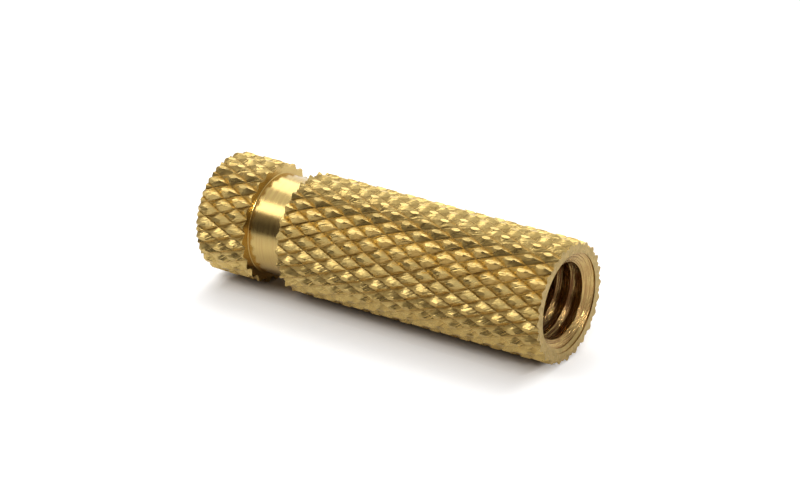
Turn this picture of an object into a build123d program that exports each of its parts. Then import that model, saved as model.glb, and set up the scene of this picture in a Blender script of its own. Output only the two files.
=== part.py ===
"""Threaded insert: a diamond-knurled brass bar with a turned groove and a blind threaded hole.

The axis is +Z. The insert stands on its closed head end, with the mouth of the hole at the top.
Lengths are in millimetres and angles in degrees.
"""

import os
from math import ceil, radians, tan

from build123d import *

# Knurl: size over the flat tips, groove depth, teeth round the bar and length of a diamond
knurl_diameter = 8.0
knurl_depth = 0.3
knurl_teeth = 24
diamond_length = 2.23

# Share of a diamond that its flat tip takes, and where the lowest ring of diamonds lies
tip_flat_share = 0.22
knurl_start = -0.6
knurl_turn = -1.25

# Lengths along the axis, from the head end up
head_length = 3.75
groove_width = 2.6
barrel_length = 19.45

# Turned groove between the head and the barrel
groove_diameter = 6.65
groove_corner_radius = 0.06

# Broken outer edges at the two ends
head_edge_break = 0.04
mouth_edge_break = 0.04

# Blind threaded hole, at the size it is drilled to before the thread is cut
thread_diameter = 6.0
thread_pitch = 1.0
hole_depth = 16.0
drill_point_angle = 118

# Plain mouth of the hole, wider than the thread: the wall it leaves under the knurl's grooves, its
# depth, and the cone that leads from it into the thread
mouth_wall = 0.475
mouth_depth = 0.4
mouth_cone_angle = 120

# How far the turned outline stands clear of the knurl
overrun = 0.5

# Sizes that follow from the ones above
length = head_length + groove_width + barrel_length
tip_radius = knurl_diameter / 2
root_radius = tip_radius - knurl_depth
apex_radius = root_radius + knurl_depth / (1 - tip_flat_share)
clear_radius = apex_radius + overrun
groove_radius = groove_diameter / 2
groove_top = head_length + groove_width
hole_radius = (thread_diameter - thread_pitch) / 2
mouth_diameter = 2 * (root_radius - mouth_wall)
drill_point_length = hole_radius / tan(radians(drill_point_angle / 2))
half_diamond = diamond_length / 2
half_tooth_angle = 180 / knurl_teeth
last_ring = ceil((length - knurl_start) / half_diamond)


# Knurled bar: rings of diamonds lie half a diamond apart, each turned by half a tooth
def knurl_point(radius, ring, step):
    """Point at the height of a ring, so many half teeth round the bar."""
    point = Vector(radius, 0, knurl_start + ring * half_diamond)
    return point.rotate(Axis.Z, knurl_turn + step * half_tooth_angle)


def facet(*corners):
    """Flat face between corners."""
    return Face(Wire.make_polygon(corners))


def diamond(ring, step):
    """Four sides that rise from the grooves towards an apex, which is cut off as a flat tip."""
    apex = knurl_point(apex_radius, ring, step)
    around = [(ring, step + 1), (ring + 1, step), (ring, step - 1), (ring - 1, step)]
    valleys = [knurl_point(root_radius, *place) for place in around]
    tips = [apex + (valley - apex) * tip_flat_share for valley in valleys]
    sides = [facet(valleys[i - 1], valleys[i], tips[i], tips[i - 1]) for i in range(4)]
    east, north, west, south = tips
    return sides + [facet(east, north, south), facet(west, south, north)]


def bar_end(ring, next_ring):
    """Facets between the axis and the zigzag of valleys where the outermost diamonds end."""
    centre = Vector(0, 0, knurl_start + ring * half_diamond)
    rim = [
        knurl_point(root_radius, ring if (ring + step) % 2 else next_ring, step)
        for step in range(2 * knurl_teeth)
    ]
    return [facet(centre, rim[step - 1], rim[step]) for step in range(2 * knurl_teeth)]


skin = bar_end(-1, 0) + bar_end(last_ring + 1, last_ring)
for ring in range(last_ring + 1):
    for step in range(ring % 2, 2 * knurl_teeth, 2):
        skin.extend(diamond(ring, step))
knurled_bar = Solid(Shell(skin))

# Turned body: its outline meets the knurl only at the two ends and in the groove
with BuildPart() as threaded_insert:
    with BuildSketch(Plane.XZ) as half_section:
        with BuildLine():
            Polyline(
                (0, 0),
                (tip_radius - head_edge_break, 0),
                (clear_radius, clear_radius - tip_radius + head_edge_break),
                (clear_radius, head_length),
                (groove_radius, head_length),
                (groove_radius, groove_top),
                (clear_radius, groove_top),
                (clear_radius, length - clear_radius + tip_radius - mouth_edge_break),
                (tip_radius - mouth_edge_break, length),
                (0, length),
                close=True,
            )
        make_face()
        inner_corners = half_section.vertices().filter_by_position(Axis.X, groove_radius, groove_radius)
        fillet(inner_corners, groove_corner_radius)
    revolve(axis=Axis.Z)

    # Hole with its wider mouth, the cone below it and the drill point
    with Locations((0, 0, length - mouth_depth)):
        CounterSinkHole(
            radius=hole_radius,
            counter_sink_radius=mouth_diameter / 2,
            depth=hole_depth - mouth_depth,
            counter_sink_angle=mouth_cone_angle,
        )
    with Locations((0, 0, length - hole_depth)):
        Cone(
            bottom_radius=0,
            top_radius=hole_radius,
            height=drill_point_length,
            align=(Align.CENTER, Align.CENTER, Align.MAX),
            mode=Mode.SUBTRACT,
        )

    # The knurl is left wherever the turned body covers it
    add(knurled_bar, mode=Mode.INTERSECT)

threaded_insert.part.label = "threaded_insert"

os.makedirs("parts", exist_ok=True)
export_step(threaded_insert.part, "parts/threaded_insert.step")
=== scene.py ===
"""Knurled brass threaded insert: the looks of the part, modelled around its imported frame.

The file is laid out as an add-on and run as a script. The insert stands on its closed head end,
with its axis along +Z and the mouth of its hole at the top. In the picture it lies on its side, so
the picture's floor is the upright plane that touches the knurl at +Y, and the picture's up is -Y.
"""

import math

import bmesh
import bpy
from bpy.props import FloatProperty, FloatVectorProperty, IntProperty, PointerProperty
from bpy.types import NodeSocket, Operator, Panel, PropertyGroup
from mathutils import Matrix, Vector


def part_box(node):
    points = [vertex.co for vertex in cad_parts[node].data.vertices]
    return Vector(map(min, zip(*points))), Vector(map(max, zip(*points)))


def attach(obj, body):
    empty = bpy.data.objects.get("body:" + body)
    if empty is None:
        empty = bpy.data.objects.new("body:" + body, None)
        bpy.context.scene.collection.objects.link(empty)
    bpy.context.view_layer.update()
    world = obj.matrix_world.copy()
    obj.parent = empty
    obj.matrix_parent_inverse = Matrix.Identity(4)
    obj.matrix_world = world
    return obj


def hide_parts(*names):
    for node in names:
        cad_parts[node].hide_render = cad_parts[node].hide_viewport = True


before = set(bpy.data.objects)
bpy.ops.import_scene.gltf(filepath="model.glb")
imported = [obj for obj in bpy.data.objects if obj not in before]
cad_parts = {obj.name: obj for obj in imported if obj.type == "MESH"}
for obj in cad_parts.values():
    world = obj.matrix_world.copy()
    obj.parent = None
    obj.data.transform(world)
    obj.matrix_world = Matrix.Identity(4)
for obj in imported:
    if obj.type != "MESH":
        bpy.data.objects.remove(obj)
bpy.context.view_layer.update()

bl_info = {
    "name": "Knurled Threaded Insert",
    "version": (1, 0, 0),
    "blender": (4, 5, 0),
    "location": "3D View > Sidebar > Insert",
    "description": "Models a diamond-knurled brass insert with a threaded hole, and a stage for it",
    "category": "Object",
}

NODE = "threaded_insert"
BODY = "root"

NODE_LOW, NODE_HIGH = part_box(NODE)
MIDDLE = (NODE_LOW.z + NODE_HIGH.z) / 2

# The mesh is worked in millimetres, where Blender's own limits for merging and insets are fine
# enough, and is brought to metres when it is finished.
MM = 0.001


# Settings


def length_setting(name, description, default):
    """Length in metres that a user may change."""
    return FloatProperty(
        name=name,
        description=description,
        default=default,
        unit="LENGTH",
        subtype="DISTANCE",
        precision=6,
    )


def angle_setting(name, description, degrees):
    """Angle that a user may change."""
    return FloatProperty(
        name=name,
        description=description,
        default=math.radians(degrees),
        unit="ROTATION",
        subtype="ANGLE",
    )


def color_setting(name, description, default):
    """Colour that a user may change."""
    return FloatVectorProperty(
        name=name,
        description=description,
        default=default,
        subtype="COLOR",
        size=3,
        min=0.0,
        max=1.0,
    )


def level_setting(name, description, default):
    """Level of light, where 1 is white, that a user may change."""
    return FloatProperty(name=name, description=description, default=default)


def power_setting(name, description, default):
    """Power of a lamp in watts that a user may change."""
    return FloatProperty(name=name, description=description, default=default, unit="POWER")


class InsertSizes(PropertyGroup):
    """Sizes of the insert: lengths in metres, angles and counts."""

    length: length_setting("Length", "From the head end to the mouth", NODE_HIGH.z - NODE_LOW.z)
    knurl_diameter: length_setting("Knurl diameter", "Over the tips", NODE_HIGH.x - NODE_LOW.x)
    knurl_depth: length_setting("Knurl depth", "From the tips to the grooves", 0.00030)
    knurl_rise: length_setting("Knurl rise", "From the grooves to a diamond's full top", 0.00039)
    dimple_depth: length_setting("Dimple depth", "How far a diamond's top is dished", 0.00009)
    diamond_length: length_setting("Diamond length", "From tip to tip along the axis", 0.00223)
    knurl_start: length_setting("Knurl start", "Height of the lowest ring of diamonds", -0.0006)
    knurl_turn: angle_setting("Knurl turn", "Turn of the lowest ring of diamonds", -1.25)
    knurl_teeth: IntProperty(
        name="Knurl teeth", description="Diamonds round the bar", default=24, min=8
    )
    tip_share: FloatProperty(
        name="Tip share",
        description="Share of a diamond that its tip takes",
        default=0.36,
        subtype="FACTOR",
        min=0.05,
        max=0.9,
    )
    knurl_wander: length_setting("Knurl wander", "How far the knurl's corners stray", 0.000016)
    head_length: length_setting("Head length", "Knurled length below the groove", 0.00375)
    groove_width: length_setting("Groove width", "Turned length between head and barrel", 0.0026)
    groove_diameter: length_setting("Groove diameter", "Across the turned groove", 0.00665)
    groove_corner: length_setting("Groove corner", "Radius in the groove's corners", 0.00006)
    edge_break: length_setting("Edge break", "Broken outer edge at both ends", 0.00004)
    thread_diameter: length_setting("Thread diameter", "Outer diameter of the thread", 0.006)
    thread_pitch: length_setting("Thread pitch", "Rise of one turn of the thread", 0.001)
    thread_length: length_setting("Thread length", "Depth of the cut thread", 0.0135)
    crest_rounding: length_setting("Crest rounding", "Radius on the thread's crests", 0.00007)
    thread_turn: angle_setting("Thread turn", "Where the thread starts round the hole", 189.0)
    hole_depth: length_setting("Hole depth", "Depth of the drilled wall", 0.016)
    drill_point: angle_setting("Drill point", "Full angle of the drill point", 118.0)
    mouth_diameter: length_setting("Mouth diameter", "Across the hole's plain mouth", 0.00645)
    mouth_depth: length_setting("Mouth depth", "Depth of the hole's plain mouth", 0.0001)
    mouth_angle: angle_setting("Mouth angle", "Full angle of the cone below the mouth", 120.0)


class InsertFinish(PropertyGroup):
    """Colours of the brass."""

    brass: color_setting("Brass", "Clean brass", (0.68, 0.50, 0.185))
    shade: color_setting("Shade", "Brass where it is duller", (0.60, 0.42, 0.135))
    faced: color_setting("Faced brass", "Brass of the faced ends", (0.64, 0.47, 0.19))
    sandy: color_setting("Sandy brass", "Specks on the faced ends", (0.46, 0.335, 0.13))
    tarnish: color_setting("Tarnish", "Coppery brass in the groove and hole", (0.46, 0.22, 0.085))
    # Painted shade: the darker colour painted into the bottoms of the knurl's grooves
    painted_groove_shade: color_setting("Groove_shade", "Bottoms of the knurl's grooves", (0.26, 0.14, 0.045))
    stain: color_setting("Stain", "Brown lines along the thread", (0.22, 0.078, 0.036))


class InsertStage(PropertyGroup):
    """Floor, room and lamps."""

    floor: color_setting("Floor", "Colour of the floor", (0.90, 0.90, 0.905))
    far_floor: color_setting("Far floor", "Floor far in front of the insert", (0.30, 0.30, 0.30))
    # Painted shadow: the floor's colour right under the insert
    foot_shadow: color_setting("Contact", "Floor right under the insert", (0.42, 0.36, 0.30))
    # Painted shade: the floor before the mouth's half, darker in the brass's reflections only
    front_floor: color_setting(
        "Front floor", "Floor before the mouth's half, as the brass sees it", (0.68, 0.61, 0.54)
    )
    glow: level_setting("Floor white", "What makes the paper white away from the insert", 0.36)
    room: level_setting("Room", "The room's soft light at the left", 0.88)
    room_rear: level_setting("Room rear", "What the rear adds to it", 0.34)
    room_right: level_setting("Room right", "The room's soft light at the right", 0.60)
    rear_power: power_setting("Rear lamp", "Power of the lamp behind the insert", 0.43)
    front_power: power_setting("Front lamp", "Power of the lamp before the insert", 0.235)
    side_power: power_setting("Side lamp", "Power of the lamp that shines into the hole", 0.6)


# Hand tools

# Vertices this near to each other are merged, in millimetres
MERGE_DISTANCE = 0.0005


def deselect_all():
    """Nothing is selected, and Blender is in object mode."""
    if bpy.context.object is not None and bpy.context.object.mode != "OBJECT":
        bpy.ops.object.mode_set(mode="OBJECT")
    bpy.ops.object.select_all(action="DESELECT")


def pick(obj):
    """Selects one object alone and makes it active."""
    deselect_all()
    bpy.context.view_layer.objects.active = obj
    obj.select_set(True)


def begin_edit(obj, mode="VERT"):
    """Opens one mesh in edit mode with nothing on it selected."""
    pick(obj)
    bpy.ops.object.mode_set(mode="EDIT")
    bpy.ops.mesh.select_mode(type=mode)
    bpy.ops.mesh.select_all(action="DESELECT")


def end_edit():
    """Leaves edit mode."""
    bpy.ops.object.mode_set(mode="OBJECT")


def select_all_as(mode):
    """Selects the whole open mesh as vertices, edges or faces."""
    bpy.ops.mesh.select_mode(type=mode)
    bpy.ops.mesh.select_all(action="SELECT")


def select_where(obj, mode, test):
    """Selects the vertices, edges or faces of the open mesh that pass a test."""
    bpy.ops.mesh.select_mode(type=mode)
    bpy.ops.mesh.select_all(action="DESELECT")
    mesh = bmesh.from_edit_mesh(obj.data)
    parts = {"VERT": mesh.verts, "EDGE": mesh.edges, "FACE": mesh.faces}[mode]
    for part in [part for part in parts if test(part)]:
        part.select_set(True)
    bmesh.update_edit_mesh(obj.data)


def fill_end(obj, test):
    """Closes an open end with one face, on the boundary edges that pass a test."""
    select_where(obj, "EDGE", lambda edge: edge.is_boundary and test(edge))
    bpy.ops.mesh.edge_face_add()


def merge_doubles():
    """Merges the open mesh's vertices that lie on each other."""
    select_all_as("VERT")
    bpy.ops.mesh.remove_doubles(threshold=MERGE_DISTANCE)


def close_shell():
    """Merges the open mesh's doubles and turns its faces outwards."""
    merge_doubles()
    bpy.ops.mesh.select_all(action="SELECT")
    bpy.ops.mesh.normals_make_consistent(inside=False)


def apply_modifier(obj, kind, **settings):
    """Adds a modifier, sets it and applies it."""
    pick(obj)
    modifier = obj.modifiers.new(kind.title(), kind)
    for name, value in settings.items():
        setattr(modifier, name, value)
    bpy.ops.object.modifier_apply(modifier=modifier.name)


def cut_with(obj, tool, operation):
    """Keeps what a tool shares with a mesh, or takes the tool away from it. The tool is used up."""
    apply_modifier(obj, "BOOLEAN", operation=operation, solver="EXACT", object=tool)
    bpy.data.objects.remove(tool)
    if not obj.data.polygons:
        raise RuntimeError(f"{obj.name} was cut away to nothing")


def drawn_line(name, points):
    """Polyline in the XZ plane, drawn by extruding one vertex from point to point."""
    deselect_all()
    bpy.ops.mesh.primitive_plane_add(size=1.0)
    obj = bpy.context.object
    obj.name = name
    begin_edit(obj)
    mesh = bmesh.from_edit_mesh(obj.data)
    mesh.verts.ensure_lookup_table()
    first = mesh.verts[0].co.copy()
    select_where(obj, "VERT", lambda vertex: vertex.index > 0)
    bpy.ops.mesh.delete(type="VERT")
    bpy.ops.mesh.select_all(action="SELECT")
    corners = [Vector((across, 0.0, up)) for across, up in points]
    bpy.ops.transform.translate(value=corners[0] - first)
    for here, there in zip(corners, corners[1:]):
        bpy.ops.mesh.extrude_vertices_move(TRANSFORM_OT_translate={"value": there - here})
    end_edit()
    return obj


def turned(name, points, steps):
    """Solid of revolution round Z: a drawn half outline, spun."""
    obj = drawn_line(name, points)
    begin_edit(obj)
    bpy.ops.mesh.select_all(action="SELECT")
    bpy.ops.mesh.spin(steps=steps, angle=math.tau, center=(0, 0, 0), axis=(0, 0, 1))
    close_shell()
    end_edit()
    return obj


# Body

# Knurl: how often the net of diamonds is smoothed, how far its finer net strays in millimetres, how
# far a dimple is set in as a share of how far the diamond's top is, and the seed of the wander
ROUNDING_STEPS = 1
FINE_WANDER = 0.004
DIMPLE_SHARE = 0.30
KNURL_SEED = 5

# Blank: how far its rim lies below the knurl's tips in millimetres, its steps round the axis, and
# the degrees at which the groove's rounded corners are drawn
RIM_SKIM = 0.012
BLANK_STEPS = 192
CORNER_ARC = (0, 18, 36, 54, 72, 90)

# Thread: what the tap takes off the drilled wall at the crests in millimetres, its steps in a turn,
# half of the flat at the groove's bottom as a share of the pitch, the lean of a flank, and the
# degrees at which a crest's rounded edge is drawn
CREST_SKIM = 0.004
THREAD_STEPS = 96
HALF_FLAT_SHARE = 1 / 16
FLANK_LEAN = math.radians(30)
CREST_ARC = (60, 40, 20, 0)

# Finishes, in the order of the material slots, and what tells them apart: lengths in millimetres,
# and how level a face is, where 1 is square to the axis
FINISHES = ("knurled", "turned", "faced", "threaded")
FACE_SLACK = 0.001
BORE_MARGIN = 0.02
LIP_MARGIN = 0.03
CONE_REACH = 0.25
CONE_LEVEL = 0.8
GROOVE_MARGIN = 0.16
SHOULDER_LEVEL = 0.99
EDGE_REACH = 0.2
EDGE_LEVEL = 0.6

# Faces that meet at less than this angle are shaded as one
SMOOTH_ANGLE = math.radians(24)


def knurled_bar(sizes):
    """Round bar, longer than the insert, whose surface is a net of blunt diamonds."""
    teeth = sizes.knurl_teeth
    period = sizes.diamond_length / MM
    slack = period / 100
    root = sizes.knurl_diameter / MM / 2 - sizes.knurl_depth / MM
    apex = root + sizes.knurl_rise / MM
    start = sizes.knurl_start / MM
    rows = math.ceil((sizes.length / MM - start) / period) + 2
    half_tooth = math.pi / teeth

    deselect_all()
    bpy.ops.mesh.primitive_cylinder_add(
        vertices=teeth,
        radius=root,
        depth=rows * period,
        end_fill_type="NOTHING",
        location=(0, 0, start + (rows / 2 - 1) * period),
        rotation=(0, 0, sizes.knurl_turn + half_tooth),
    )
    bar = bpy.context.object
    bar.name = "knurled_bar"
    bpy.ops.object.transform_apply(location=True, rotation=True, scale=True)

    # A net of squares becomes a net of diamonds: each square gets a centre and loses its own edges.
    def is_long_edge(edge):
        return abs(edge.verts[0].co.z - edge.verts[1].co.z) > period / 2

    def is_square_edge(edge):
        low, high = sorted((vertex.co for vertex in edge.verts), key=lambda co: co.z)
        level = high.z - low.z < slack
        upright = (high - low).to_2d().length < slack
        return (level or upright) and not edge.is_boundary

    begin_edit(bar, "EDGE")
    select_where(bar, "EDGE", is_long_edge)
    bpy.ops.mesh.subdivide(number_cuts=rows - 1)
    select_all_as("FACE")
    bpy.ops.mesh.poke(offset=root * (1 - math.cos(half_tooth)))
    select_where(bar, "EDGE", is_square_edge)
    bpy.ops.mesh.dissolve_edges(use_verts=False)

    # Each diamond is raised to a small dished top, higher than the blank's rim.
    across = (root + apex) / 2 * math.sin(half_tooth)
    along = period / 2
    reach = across * along / math.hypot(across, along) * (1 - sizes.tip_share)
    dimple = sizes.dimple_depth / MM
    select_where(bar, "FACE", lambda face: len(face.verts) == 4)
    for thickness, depth in ((reach, apex - root), (reach * DIMPLE_SHARE, -dimple)):
        bpy.ops.mesh.inset(
            thickness=thickness, depth=depth, use_individual=True, use_even_offset=True
        )
    wander = sizes.knurl_wander / MM
    select_all_as("VERT")
    bpy.ops.transform.vertex_random(offset=wander, uniform=1.0, seed=KNURL_SEED)

    # The tips and ridges are rounded, and the grooves stay sharp.
    def is_groove(edge):
        return all(vertex.co.to_2d().length < root + 2 * wander for vertex in edge.verts)

    select_all_as("EDGE")
    bpy.ops.transform.edge_crease(value=-1.0)
    select_where(bar, "EDGE", is_groove)
    bpy.ops.transform.edge_crease(value=1.0)
    end_edit()
    apply_modifier(bar, "SUBSURF", levels=ROUNDING_STEPS)
    begin_edit(bar)
    bpy.ops.mesh.select_all(action="SELECT")
    bpy.ops.transform.vertex_random(offset=FINE_WANDER, uniform=1.0, seed=KNURL_SEED)

    # The open ends are closed, well clear of the insert.
    for end in (min, max):
        height = end(vertex.co.z for vertex in bmesh.from_edit_mesh(bar.data).verts)
        fill_end(bar, lambda edge: all(abs(v.co.z - height) < slack for v in edge.verts))
    close_shell()
    end_edit()
    return bar


def turned_blank(sizes):
    """The insert without knurl and thread: ends, groove, and drilled hole with its wider mouth."""
    length = sizes.length / MM
    rim = sizes.knurl_diameter / MM / 2 - RIM_SKIM
    face = sizes.knurl_diameter / MM / 2 - sizes.edge_break / MM
    head = sizes.head_length / MM
    neck = sizes.groove_diameter / MM / 2
    corner = sizes.groove_corner / MM
    shoulder = head + sizes.groove_width / MM
    hole = (sizes.thread_diameter - sizes.thread_pitch) / MM / 2
    mouth = sizes.mouth_diameter / MM / 2
    ledge = length - sizes.mouth_depth / MM
    floor = length - sizes.hole_depth / MM
    point = floor - hole / math.tan(sizes.drill_point / 2)

    lower_corner = []
    upper_corner = []
    for turn in map(math.radians, CORNER_ARC):
        from_sine = corner * (1 - math.sin(turn))
        from_cosine = corner * (1 - math.cos(turn))
        lower_corner.append((neck + from_sine, head + from_cosine))
        upper_corner.append((neck + from_cosine, shoulder - from_sine))
    outline = [
        (0, 0),
        (face, 0),
        (rim, rim - face),
        (rim, head),
        *lower_corner,
        *upper_corner,
        (rim, shoulder),
        (rim, length - rim + face),
        (face, length),
        (mouth, length),
        (mouth, ledge),
        (hole, ledge - (mouth - hole) / math.tan(sizes.mouth_angle / 2)),
        (hole, floor),
        (0, point),
    ]
    return turned("turned_blank", outline, BLANK_STEPS)


def thread_tap(sizes):
    """Solid that a tap sweeps out: a core as wide as the hole with a ridge wound round it."""
    pitch = sizes.thread_pitch / MM
    outer = sizes.thread_diameter / MM / 2
    core = (sizes.thread_diameter - sizes.thread_pitch) / MM / 2 + CREST_SKIM
    bottom = (sizes.length - sizes.thread_length) / MM
    turns = math.ceil(sizes.thread_length / MM / pitch) + 2

    # Half of the groove between two crests, from its bottom up to a crest with a rounded edge
    flat = pitch * HALF_FLAT_SHARE
    rounding = sizes.crest_rounding / MM
    shoulder = flat + (outer - core) * math.tan(FLANK_LEAN) + rounding * math.tan(FLANK_LEAN)
    half = [(outer, flat)]
    for turn in map(math.radians, CREST_ARC):
        across = core + rounding * (1 - math.cos(turn))
        half.append((across, shoulder - rounding * math.sin(turn)))

    # One turn of the whole groove, wound up the hole
    middle = bottom + pitch / 2
    below = [(across, middle - up) for across, up in reversed(half)]
    above = [(across, middle + up) for across, up in half]
    ridge = drawn_line("thread_tap", below + above + [(core, middle - shoulder + pitch)])
    apply_modifier(
        ridge,
        "SCREW",
        axis="Z",
        angle=math.tau,
        screw_offset=pitch,
        iterations=turns,
        steps=THREAD_STEPS,
        render_steps=THREAD_STEPS,
    )

    # Both ends are closed, and the thread is turned to where it starts.
    begin_edit(ridge)
    merge_doubles()
    halfway = bottom + turns * pitch / 2
    for lower in (True, False):
        fill_end(ridge, lambda edge: (edge.verts[0].co.z < halfway) == lower)
        bpy.ops.mesh.select_mode(type="FACE")
        bpy.ops.mesh.poke()
    close_shell()
    end_edit()
    ridge.rotation_euler.z = sizes.thread_turn
    pick(ridge)
    bpy.ops.object.transform_apply(location=False, rotation=True, scale=False)
    return ridge


def give_finishes(obj, sizes, materials):
    """Each face takes the finish of the tool that made it."""
    for name in FINISHES:
        obj.data.materials.append(materials[name])
    length = sizes.length / MM
    bore = sizes.mouth_diameter / MM / 2 + BORE_MARGIN
    neck = sizes.groove_diameter / MM / 2 + GROOVE_MARGIN
    low = sizes.head_length / MM
    high = low + sizes.groove_width / MM
    edge = sizes.knurl_diameter / MM / 2 - sizes.edge_break / MM - EDGE_REACH
    for face in obj.data.polygons:
        height = face.center.z
        radius = face.center.to_2d().length
        level = abs(face.normal.z)
        at_head = height < FACE_SLACK
        at_mouth = height > length - FACE_SLACK and radius > bore - LIP_MARGIN
        in_bore = radius < bore
        on_cone = in_bore and height > length - CONE_REACH and face.normal.z > CONE_LEVEL
        beside_groove = low - FACE_SLACK < height < high + FACE_SLACK
        in_groove = beside_groove and (radius < neck or level > SHOULDER_LEVEL)
        near_end = height < EDGE_REACH or height > length - EDGE_REACH
        on_edge = near_end and radius > edge and level > EDGE_LEVEL
        if at_head or at_mouth or on_cone:
            finish = "faced"
        elif in_bore and height > high:
            finish = "threaded"
        elif in_groove:
            finish = "turned"
        elif on_edge:
            finish = "faced"
        else:
            finish = "knurled"
        face.material_index = FINISHES.index(finish)


def insert_body(sizes, materials):
    """The whole insert: a turned blank, knurled outside and tapped inside."""
    body = turned_blank(sizes)
    cut_with(body, knurled_bar(sizes), "INTERSECT")
    cut_with(body, thread_tap(sizes), "DIFFERENCE")
    body.name = "insert_body"
    body.data.name = "insert_body"
    begin_edit(body)
    close_shell()
    end_edit()
    give_finishes(body, sizes, materials)
    pick(body)
    bpy.ops.transform.resize(value=(MM, MM, MM), center_override=(0, 0, 0))
    bpy.ops.object.transform_apply(location=True, rotation=True, scale=True)
    bpy.ops.object.shade_smooth_by_angle(angle=SMOOTH_ANGLE)
    return body


# Materials

# Sockets of a Mix node when it mixes colours
MIX_FACTOR, MIX_FIRST, MIX_SECOND, MIX_RESULT = 0, 6, 7, 2

# Range of a mask, and the range in which most of a noise texture lies
MASK = (0.0, 1.0)
NOISE = (0.35, 0.65)

# Brass tone: how much patches and specks weigh, and the range of their sum that shows
PATCH_WEIGHT = 0.6
SPECK_WEIGHT = 0.4
TONE_RANGE = (0.38, 0.62)

# Knurl: how much streaks and grain weigh in its bump, how far below the tips the rubbed metal
# starts and is full, in millimetres, how much rougher it is, how high above the bottoms of the
# grooves the painted shade reaches, in millimetres, and how strong it is
STREAK_WEIGHT = 1.3
GRAIN_WEIGHT = 0.6
RUBBED_FROM, RUBBED_TO = 0.03, 0.015
RUBBED_ROUGHNESS = 0.03
GROOVE_SHADE_RISE = 0.09
GROOVE_SHADE_AMOUNT = 0.32

# Faced ends: how much the rings weigh beside the grain
RING_WEIGHT = 0.5

# Turned groove: the range of its tool lines that is tarnished, and how strongly
TARNISH_RANGE = (0.30, 0.55)
TARNISH_AMOUNT = 0.45

# Thread: the ranges of its tool lines that are stained and that are smoothed, how deep below the
# mouth the stain is full and is least, in millimetres, and how strong it is there
STAIN_RANGE = (0.42, 0.62)
SMOOTHED_RANGE = (0.38, 0.62)
STAIN_DEEP, STAIN_NEAR = 1.0, 0.3
STAIN_AMOUNTS = (0.9, 0.4)


def set_inputs(tree, made, inputs):
    """Sets each input of a node to a value, or links it to an output."""
    for socket, value in inputs.items():
        if isinstance(value, NodeSocket):
            tree.links.new(value, made.inputs[socket])
        else:
            made.inputs[socket].default_value = value


def node(tree, kind, inputs=None, **settings):
    """Adds a node, with its settings, and its inputs set or linked."""
    made = tree.nodes.new("ShaderNode" + kind)
    for name, value in settings.items():
        setattr(made, name, value)
    set_inputs(tree, made, inputs or {})
    return made


def calc(tree, operation, first, second=0.0):
    """Result of a Math node."""
    return node(tree, "Math", {0: first, 1: second}, operation=operation).outputs[0]


def spread(tree, value, given, wanted):
    """Value moved from one range to another, and held inside it."""
    inputs = {0: value, 1: given[0], 2: given[1], 3: wanted[0], 4: wanted[1]}
    return node(tree, "MapRange", inputs, clamp=True).outputs[0]


def noise(tree, place, scale, detail, **inputs):
    """Height of a noise texture."""
    given = {"Vector": place, "Scale": scale, "Detail": detail, **inputs}
    return node(tree, "TexNoise", given).outputs[0]


def blend_color(tree, factor, first, second):
    """Mix of two colours."""
    inputs = {MIX_FACTOR: factor, MIX_FIRST: first, MIX_SECOND: second}
    made = node(tree, "Mix", inputs, data_type="RGBA", clamp_factor=True)
    return made.outputs[MIX_RESULT]


def coordinates(tree, kind):
    """Coordinates of one kind, such as Object."""
    return node(tree, "TexCoord").outputs[kind]


def separated(tree, place):
    """The X, Y and Z of a place."""
    return node(tree, "SeparateXYZ", {0: place}).outputs


def new_group(name, inputs, outputs):
    """Empty node group with its sockets, and its input and output nodes."""
    group = bpy.data.node_groups.new(name, "ShaderNodeTree")
    for socket, kind, default in inputs:
        made = group.interface.new_socket(
            socket, in_out="INPUT", socket_type="NodeSocket" + kind
        )
        if default is not None:
            made.default_value = default
    for socket, kind in outputs:
        group.interface.new_socket(socket, in_out="OUTPUT", socket_type="NodeSocket" + kind)
    given = group.nodes.new("NodeGroupInput").outputs
    out = group.nodes.new("NodeGroupOutput").inputs
    return group, given, out


def put(tree, group, inputs):
    """Places a node group in a material and returns its outputs."""
    return node(tree, "Group", inputs, node_tree=group).outputs


def round_places_group():
    """Where a point lies on the bar: turns round the axis, millimetres along it and from it.

    The turns start anew at +Y, on the side that the insert lies on.
    """
    group, given, out = new_group(
        "Round Places",
        [("Position", "Vector", None)],
        [("Around", "Float"), ("Along", "Float"), ("Radius", "Float")],
    )
    parts = separated(group, given["Position"])
    backwards = calc(group, "MULTIPLY", parts["Y"], -1.0)
    angle = calc(group, "ARCTAN2", parts["X"], backwards)
    squares = [calc(group, "POWER", parts[axis], 2.0) for axis in ("X", "Y")]
    radius = calc(group, "SQRT", calc(group, "ADD", *squares))
    group.links.new(calc(group, "DIVIDE", angle, math.tau), out["Around"])
    group.links.new(calc(group, "MULTIPLY", parts["Z"], 1 / MM), out["Along"])
    group.links.new(calc(group, "MULTIPLY", radius, 1 / MM), out["Radius"])
    return group


def brass_tone_group():
    """Brass that is brighter and duller in patches, with fine specks."""
    group, given, out = new_group(
        "Brass Tone",
        [
            ("Position", "Vector", None),
            ("Clean", "Color", None),
            ("Dull", "Color", None),
            ("Patch Scale", "Float", 900.0),
            ("Speck Scale", "Float", 9000.0),
            ("Amount", "Float", 0.8),
        ],
        [("Color", "Color")],
    )
    patch = noise(group, given["Position"], scale=given["Patch Scale"], detail=3.0)
    speck = noise(group, given["Position"], scale=given["Speck Scale"], detail=2.0)
    patches = calc(group, "MULTIPLY", patch, PATCH_WEIGHT)
    specks = calc(group, "MULTIPLY", speck, SPECK_WEIGHT)
    shown = spread(group, calc(group, "ADD", patches, specks), TONE_RANGE, MASK)
    mask = calc(group, "MULTIPLY", shown, given["Amount"])
    group.links.new(blend_color(group, mask, given["Clean"], given["Dull"]), out["Color"])
    return group


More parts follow.
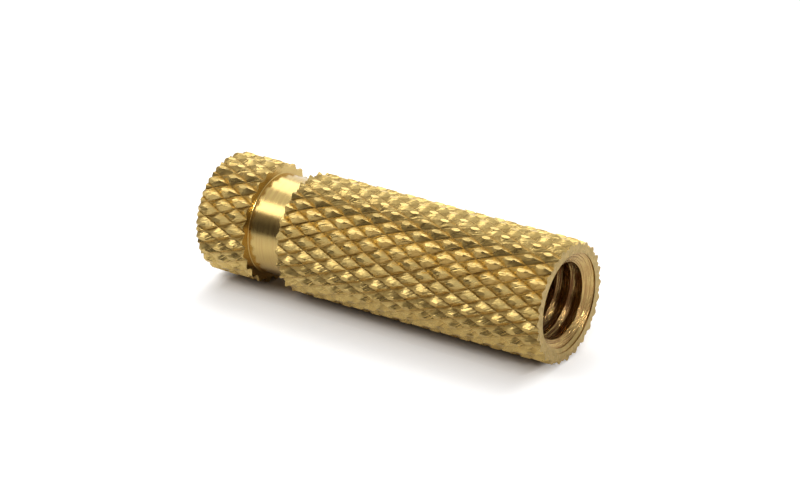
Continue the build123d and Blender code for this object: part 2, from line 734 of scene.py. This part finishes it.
def tool_lines_group():
    """Fine marks that a tool leaves along one direction: close together across, drawn out along."""
    group, given, out = new_group(
        "Tool Lines",
        [
            ("Across", "Float", 0.0),
            ("Along", "Float", 0.0),
            ("Across Scale", "Float", 10.0),
            ("Along Scale", "Float", 1.0),
            ("Detail", "Float", 3.0),
        ],
        [("Height", "Float")],
    )
    across = calc(group, "MULTIPLY", given["Across"], given["Across Scale"])
    along = calc(group, "MULTIPLY", given["Along"], given["Along Scale"])
    place = node(group, "CombineXYZ", {"X": across, "Y": along}).outputs[0]
    lines = noise(group, place, scale=1.0, detail=given["Detail"], Roughness=0.6)
    group.links.new(lines, out["Height"])
    return group


def principled(tree):
    """The Principled shader that a new material has."""
    return next(made for made in tree.nodes if made.type == "BSDF_PRINCIPLED")


def new_material(name):
    """Metal with a Principled shader, and the Object coordinates of a piece."""
    material = bpy.data.materials.new(name)
    material.use_nodes = True
    tree = material.node_tree
    shader = principled(tree)
    shader.inputs["Metallic"].default_value = 1.0
    return material, tree, shader, coordinates(tree, "Object")


def feed(tree, shader, color, roughness, bump):
    """Links a finish to its shader."""
    normal = node(tree, "Bump", bump).outputs[0]
    for socket, value in (("Base Color", color), ("Roughness", roughness), ("Normal", normal)):
        tree.links.new(value, shader.inputs[socket])


def solid(color):
    """Colour with full alpha."""
    return (*color, 1.0)


def knurled_brass(sizes, finish, groups):
    """Knurled: streaks along one hand of the grooves, over grain, and painted shade in the grooves.
    """
    material, tree, shader, place = new_material("knurled_brass")
    where = put(tree, groups["places"], {"Position": place})
    tone = put(tree, groups["tone"], {
        "Position": place, "Clean": solid(finish.brass), "Dull": solid(finish.shade),
        "Patch Scale": 1100.0, "Speck Scale": 9000.0, "Amount": 0.8,
    })
    rolled = calc(tree, "MULTIPLY", where["Around"], float(sizes.knurl_teeth))
    risen = calc(tree, "DIVIDE", where["Along"], sizes.diamond_length / MM)
    streak = put(tree, groups["lines"], {
        "Across": calc(tree, "ADD", rolled, risen), "Along": calc(tree, "SUBTRACT", rolled, risen),
        "Across Scale": 6.5, "Along Scale": 0.9, "Detail": 1.5,
    })["Height"]
    streaks = calc(tree, "MULTIPLY", streak, STREAK_WEIGHT)
    grain = noise(tree, place, scale=4600.0, detail=1.0)
    torn = calc(tree, "ADD", streaks, calc(tree, "MULTIPLY", grain, GRAIN_WEIGHT))

    tip = sizes.knurl_diameter / MM / 2
    root = tip - sizes.knurl_depth / MM
    rubbed = spread(tree, where["Radius"], (tip - RUBBED_FROM, tip - RUBBED_TO), MASK)
    tip_gain = calc(tree, "MULTIPLY", rubbed, RUBBED_ROUGHNESS)
    flank_roughness = spread(tree, streak, NOISE, (0.24, 0.36))
    # Painted shade: the colour is darkened towards the bottoms of the grooves
    groove_shade_mask = spread(tree, where["Radius"], (root, root + GROOVE_SHADE_RISE), (GROOVE_SHADE_AMOUNT, 0.0))
    feed(
        tree,
        shader,
        color=blend_color(tree, groove_shade_mask, tone["Color"], solid(finish.painted_groove_shade)),
        roughness=calc(tree, "ADD", flank_roughness, tip_gain),
        bump={"Strength": 1.0, "Distance": 0.00003, "Height": torn},
    )
    return material


def turned_brass(finish, groups):
    """Turned: fine lines round the groove, with tarnish in them."""
    material, tree, shader, place = new_material("turned_brass")
    where = put(tree, groups["places"], {"Position": place})
    tone = put(tree, groups["tone"], {
        "Position": place, "Clean": solid(finish.brass), "Dull": solid(finish.shade),
        "Patch Scale": 700.0, "Speck Scale": 7000.0, "Amount": 0.4,
    })
    line = put(tree, groups["lines"], {
        "Across": calc(tree, "SUBTRACT", where["Along"], where["Radius"]), "Along": where["Around"],
        "Across Scale": 14.0, "Along Scale": 6.0, "Detail": 4.0,
    })["Height"]
    dimmed = spread(tree, line, TARNISH_RANGE, (TARNISH_AMOUNT, 0.0))
    feed(
        tree,
        shader,
        color=blend_color(tree, dimmed, tone["Color"], solid(finish.tarnish)),
        roughness=spread(tree, line, NOISE, (0.10, 0.24)),
        bump={"Strength": 0.7, "Distance": 0.00001, "Height": line},
    )
    return material


def faced_brass(finish, groups):
    """Faced: sandy ends with rings left by the tool."""
    material, tree, shader, place = new_material("faced_brass")
    where = put(tree, groups["places"], {"Position": place})
    tone = put(tree, groups["tone"], {
        "Position": place, "Clean": solid(finish.faced), "Dull": solid(finish.sandy),
        "Patch Scale": 2200.0, "Speck Scale": 7500.0, "Amount": 0.9,
    })
    ring = put(tree, groups["lines"], {
        "Across": where["Radius"], "Along": where["Around"],
        "Across Scale": 11.0, "Along Scale": 30.0, "Detail": 4.0,
    })["Height"]
    rings = calc(tree, "MULTIPLY", ring, RING_WEIGHT)
    grain = noise(tree, place, scale=6500.0, detail=2.0)
    torn = calc(tree, "ADD", rings, grain)
    feed(
        tree,
        shader,
        color=tone["Color"],
        roughness=spread(tree, ring, NOISE, (0.36, 0.55)),
        bump={"Strength": 1.0, "Distance": 0.00007, "Height": torn},
    )
    return material


def threaded_brass(finish, groups):
    """Threaded: torn lines along the thread, coppery, and browner down the hole."""
    material, tree, shader, place = new_material("threaded_brass")
    where = put(tree, groups["places"], {"Position": place})
    tone = put(tree, groups["tone"], {
        "Position": place, "Clean": solid(finish.brass), "Dull": solid(finish.tarnish),
        "Patch Scale": 900.0, "Speck Scale": 6000.0, "Amount": 0.4,
    })
    risen = calc(tree, "SUBTRACT", where["Along"], where["Around"])
    line = put(tree, groups["lines"], {
        "Across": calc(tree, "ADD", risen, where["Radius"]), "Along": where["Around"],
        "Across Scale": 9.0, "Along Scale": 5.0, "Detail": 3.0,
    })["Height"]
    mouth = NODE_HIGH.z / MM
    depths = (mouth - STAIN_DEEP, mouth - STAIN_NEAR)
    inside = spread(tree, where["Along"], depths, STAIN_AMOUNTS)
    worn = spread(tree, line, STAIN_RANGE, (inside, 0.0))
    feed(
        tree,
        shader,
        color=blend_color(tree, worn, tone["Color"], solid(finish.stain)),
        roughness=spread(tree, line, SMOOTHED_RANGE, (0.34, 0.12)),
        bump={"Strength": 1.0, "Distance": 0.00005, "Height": line},
    )
    return material


def brass_materials(sizes, finish):
    """The four finishes of the brass, with the node groups that they share."""
    groups = {
        "places": round_places_group(),
        "tone": brass_tone_group(),
        "lines": tool_lines_group(),
    }
    return {
        "knurled": knurled_brass(sizes, finish, groups),
        "turned": turned_brass(finish, groups),
        "faced": faced_brass(finish, groups),
        "threaded": threaded_brass(finish, groups),
    }


# Stage, in metres


def lying(along, back, up):
    """Direction in the part's frame, from one in the picture: along the bar to its mouth, away from
    the camera, and up.
    """
    return Vector((-back, -up, along))


# Camera, fitted to the photo: its axes, its place, its lens and sensor in millimetres, and how
# near it starts to see
CAMERA_RIGHT = Vector((-0.5450, 0.0, 0.8385))
CAMERA_UP = Vector((-0.3546, -0.9062, -0.2305))
CAMERA_BACK = Vector((0.7598, -0.4229, 0.4938))
CAMERA_PLACE = Vector((0.1544, -0.0864, 0.11365))
CAMERA_LENS = 143.4
CAMERA_SENSOR = 36.0
CAMERA_CLIP = 0.005

# Floor: its radius and sides, how far inside the bar's ends its painted shadow starts to fall off
# and the white that the camera sees starts to rise, and how fast, and the distances over which it
# changes: two from the bar's foot, two from under the axis towards the camera, and one along the
# bar
FLOOR_RADIUS = 0.065
FLOOR_SIDES = 96
FOOT_INSET = 0.0015
FOOT_FALL = 5.0
FOOT_SHADOW_RANGE = (0.0008, 0.0036)
WHITE_RANGE = (0.001, 0.008)
FORWARD_RANGE = (0.006, 0.050)
FRONT_RANGE = (0.0065, 0.0095)
MOUTHWARD_RANGE = (0.003, 0.012)

# Screens: how far off they stand, their width, how far they reach below the floor, the degrees that
# they rise to, the shares of that height between which they change colour, and where each stands,
# with its colours below and above
SCREEN_DISTANCE = 0.30
SCREEN_WIDTH = 0.60
SCREEN_DROP = 0.06
SCREEN_RISE = 44.0
SCREEN_SHARES = (0.35, 0.90)
FRONT_SCREEN = (lying(0, -1, 0), (0.08, 0.07, 0.06), (0.40, 0.36, 0.32))
LEFT_SCREEN = (lying(-1, 0, 0), (0.55, 0.52, 0.48), (0.50, 0.46, 0.42))
RIGHT_SCREEN = (lying(1, 0, 0), (0.25, 0.22, 0.20), (0.36, 0.32, 0.28))

# Lamps: how far off they stand, where each stands, and its width and height
LAMP_DISTANCE = 0.35
REAR_LAMP = (lying(-0.342, 0.539, 0.770), 0.36, 0.225)
FRONT_LAMP = (lying(-0.423, -0.513, 0.747), 0.27, 0.130)
SIDE_LAMP = (lying(0.85, -0.29, 0.43), 0.05, 0.05)

# Room: the directions, along the bar and towards the camera, over which its light falls off
ROOM_RANGE = (-0.6, 0.3)
REAR_RANGE = (-0.9, -0.4)

WHITE = (1.0, 1.0, 1.0, 1.0)


def floor_paper(stage):
    """Paper with a painted shadow at the insert's foot, and whiter to the camera away from it.

    To the brass alone it has painted shade before the mouth's half. It is clear from below.
    """
    material = bpy.data.materials.new("floor_paper")
    material.use_nodes = True
    tree = material.node_tree
    tree.nodes.clear()
    seen = node(tree, "LightPath").outputs["Is Camera Ray"]

    # Distance from the bar's foot, which counts for more past its ends
    place = separated(tree, coordinates(tree, "Object"))
    off_middle = calc(tree, "ABSOLUTE", calc(tree, "SUBTRACT", place["Z"], MIDDLE))
    half_length = (NODE_HIGH.z - NODE_LOW.z) / 2
    past_end = calc(tree, "SUBTRACT", off_middle, half_length - FOOT_INSET)
    beyond = calc(tree, "MULTIPLY", calc(tree, "MAXIMUM", past_end, 0.0), FOOT_FALL)
    aside = node(tree, "CombineXYZ", {"X": place["X"], "Y": beyond}).outputs[0]
    clear_of = node(tree, "VectorMath", {0: aside}, operation="LENGTH").outputs["Value"]

    # Its colour, to the camera and to the brass: a painted shadow at the foot, and painted shade
    # # before the mouth's half that only the brass sees
    forward = spread(tree, place["X"], FORWARD_RANGE, MASK)
    near = spread(tree, clear_of, FOOT_SHADOW_RANGE, (1.0, 0.0))
    plain = blend_color(tree, forward, solid(stage.floor), solid(stage.far_floor))
    plain = blend_color(tree, near, plain, solid(stage.foot_shadow))
    # Painted shade, seen only by the brass: the floor before the mouth's half is darkened
    mouthward = spread(tree, place["Z"], MOUTHWARD_RANGE, MASK)
    in_front = spread(tree, place["X"], FRONT_RANGE, (0.0, mouthward))
    mirrored = blend_color(tree, in_front, plain, solid(stage.front_floor))
    paper = node(tree, "BsdfDiffuse", {"Color": blend_color(tree, seen, mirrored, plain)})

    # Its white, to the camera alone
    away = spread(tree, clear_of, WHITE_RANGE, (0.0, stage.glow))
    white = calc(tree, "MULTIPLY", seen, calc(tree, "ADD", away, forward))
    glow = node(tree, "Emission", {"Color": WHITE, "Strength": white})

    lit = node(tree, "AddShader", {0: paper.outputs[0], 1: glow.outputs[0]})
    clear = node(tree, "BsdfTransparent")
    below = node(tree, "NewGeometry").outputs["Backfacing"]
    both = node(tree, "MixShader", {0: below, 1: lit.outputs[0], 2: clear.outputs[0]})
    node(tree, "OutputMaterial", {"Surface": both.outputs[0]})
    return material


def studio_floor(stage):
    """Pale round sheet under the lying insert."""
    deselect_all()
    bpy.ops.mesh.primitive_circle_add(
        vertices=FLOOR_SIDES,
        radius=FLOOR_RADIUS,
        fill_type="NGON",
        location=(0.0, NODE_HIGH.y, MIDDLE),
        rotation=(math.pi / 2, 0, 0),
    )
    floor = bpy.context.object
    floor.name = "floor"
    bpy.ops.object.transform_apply(location=True, rotation=True, scale=True)
    floor.data.materials.append(floor_paper(stage))


def dark_screen(name, toward, low_color, high_color):
    """Dull side of the studio. The brass reflects it, and the camera looks past it."""
    rise = SCREEN_DISTANCE * math.tan(math.radians(SCREEN_RISE))
    foot = Vector((0.0, NODE_HIGH.y, MIDDLE))
    up = lying(0, 0, 1)
    deselect_all()
    bpy.ops.mesh.primitive_plane_add(size=1.0)
    screen = bpy.context.object
    screen.name = name
    turn = Matrix((up.cross(toward), up, toward)).transposed().to_4x4()
    centre = foot + toward * SCREEN_DISTANCE + up * (rise - SCREEN_DROP) / 2
    size = Matrix.Diagonal((SCREEN_WIDTH, rise + SCREEN_DROP, 1.0, 1.0))
    screen.matrix_world = Matrix.Translation(centre) @ turn @ size
    bpy.ops.object.transform_apply(location=True, rotation=True, scale=True)

    material = bpy.data.materials.new(name + "_cloth")
    material.use_nodes = True
    tree = material.node_tree
    shader = principled(tree)
    place = separated(tree, coordinates(tree, "Object"))
    height = calc(tree, "SUBTRACT", NODE_HIGH.y, place["Y"])
    paler = spread(tree, height, [share * rise for share in SCREEN_SHARES], MASK)
    color = blend_color(tree, paler, solid(low_color), solid(high_color))
    tree.links.new(color, shader.inputs["Base Color"])
    shader.inputs["Roughness"].default_value = 1.0
    screen.data.materials.append(material)
    screen.visible_camera = False


def lamp(name, toward, width, height, power):
    """Soft box that faces the insert."""
    data = bpy.data.lights.new(name, "AREA")
    data.shape = "RECTANGLE"
    data.size = width
    data.size_y = height
    data.energy = power
    obj = bpy.data.objects.new(name, data)
    bpy.context.scene.collection.objects.link(obj)
    back = toward.normalized()
    bar = lying(1, 0, 0)
    side = (bar - back * back.dot(bar)).normalized()
    obj.matrix_world = Matrix((side, back.cross(side), back)).transposed().to_4x4()
    obj.location = Vector((0, 0, MIDDLE)) + back * LAMP_DISTANCE
    obj.visible_camera = False


def studio_world(stage):
    """White room: white where it is seen, and soft light that is stronger from the head's side."""
    world = bpy.data.worlds.new("studio")
    bpy.context.scene.world = world
    world.use_nodes = True
    tree = world.node_tree
    tree.nodes.clear()
    seen = node(tree, "LightPath").outputs["Is Camera Ray"]
    toward = separated(tree, coordinates(tree, "Generated"))
    soft = spread(tree, toward["Z"], ROOM_RANGE, (stage.room, stage.room_right))
    behind = spread(tree, toward["X"], REAR_RANGE, (stage.room_rear, 0.0))
    level = calc(tree, "MAXIMUM", seen, calc(tree, "ADD", soft, behind))
    light = node(tree, "Background", {"Color": WHITE, "Strength": level})
    node(tree, "OutputWorld", {"Surface": light.outputs[0]})


def camera():
    """Camera at the photograph's viewing angle."""
    data = bpy.data.cameras.new("camera")
    data.sensor_fit = "HORIZONTAL"
    data.sensor_width = CAMERA_SENSOR
    data.lens = CAMERA_LENS
    data.clip_start = CAMERA_CLIP
    obj = bpy.data.objects.new("camera", data)
    bpy.context.scene.collection.objects.link(obj)
    obj.matrix_world = Matrix((CAMERA_RIGHT, CAMERA_UP, CAMERA_BACK)).transposed().to_4x4()
    obj.location = CAMERA_PLACE
    bpy.context.scene.camera = obj


# Operators


class INSERT_OT_body(Operator):
    """Model the knurled, turned and tapped brass body"""

    bl_idname = "insert.body"
    bl_label = "Insert Body"
    bl_options = {"REGISTER", "UNDO"}

    def execute(self, context):
        sizes = context.scene.insert_sizes
        body = insert_body(sizes, brass_materials(sizes, context.scene.insert_finish))
        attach(body, BODY)
        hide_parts(NODE)
        return {"FINISHED"}


class INSERT_OT_stage(Operator):
    """Set out the floor, the room, the lamps and the camera"""

    bl_idname = "insert.stage"
    bl_label = "Insert Stage"
    bl_options = {"REGISTER", "UNDO"}

    def execute(self, context):
        stage = context.scene.insert_stage
        studio_floor(stage)
        dark_screen("front_screen", *FRONT_SCREEN)
        dark_screen("left_screen", *LEFT_SCREEN)
        dark_screen("right_screen", *RIGHT_SCREEN)
        studio_world(stage)
        lamp("rear_lamp", *REAR_LAMP, stage.rear_power)
        lamp("front_lamp", *FRONT_LAMP, stage.front_power)
        lamp("side_lamp", *SIDE_LAMP, stage.side_power)
        camera()
        context.scene.view_settings.view_transform = "Standard"
        return {"FINISHED"}


class INSERT_PT_panel(Panel):
    """Sizes, finish and stage of the insert"""

    bl_idname = "INSERT_PT_panel"
    bl_label = "Threaded Insert"
    bl_space_type = "VIEW_3D"
    bl_region_type = "UI"
    bl_category = "Insert"

    def draw(self, context):
        scene = context.scene
        for title, settings, operator in (
            ("Body", (scene.insert_sizes, scene.insert_finish), INSERT_OT_body),
            ("Stage", (scene.insert_stage,), INSERT_OT_stage),
        ):
            box = self.layout.box()
            box.label(text=title)
            for group in settings:
                for name in group.__annotations__:
                    box.prop(group, name)
            box.operator(operator.bl_idname)


CLASSES = (InsertSizes, InsertFinish, InsertStage, INSERT_OT_body, INSERT_OT_stage, INSERT_PT_panel)


def register():
    """Adds the classes and the scene's settings to Blender."""
    for made in CLASSES:
        bpy.utils.register_class(made)
    bpy.types.Scene.insert_sizes = PointerProperty(type=InsertSizes)
    bpy.types.Scene.insert_finish = PointerProperty(type=InsertFinish)
    bpy.types.Scene.insert_stage = PointerProperty(type=InsertStage)


def unregister():
    """Takes them away again."""
    del bpy.types.Scene.insert_stage
    del bpy.types.Scene.insert_finish
    del bpy.types.Scene.insert_sizes
    for made in reversed(CLASSES):
        bpy.utils.unregister_class(made)


def main():
    """Builds the insert and its stage."""
    register()
    bpy.ops.insert.body()
    bpy.ops.insert.stage()


if __name__ == "__main__":
    main()
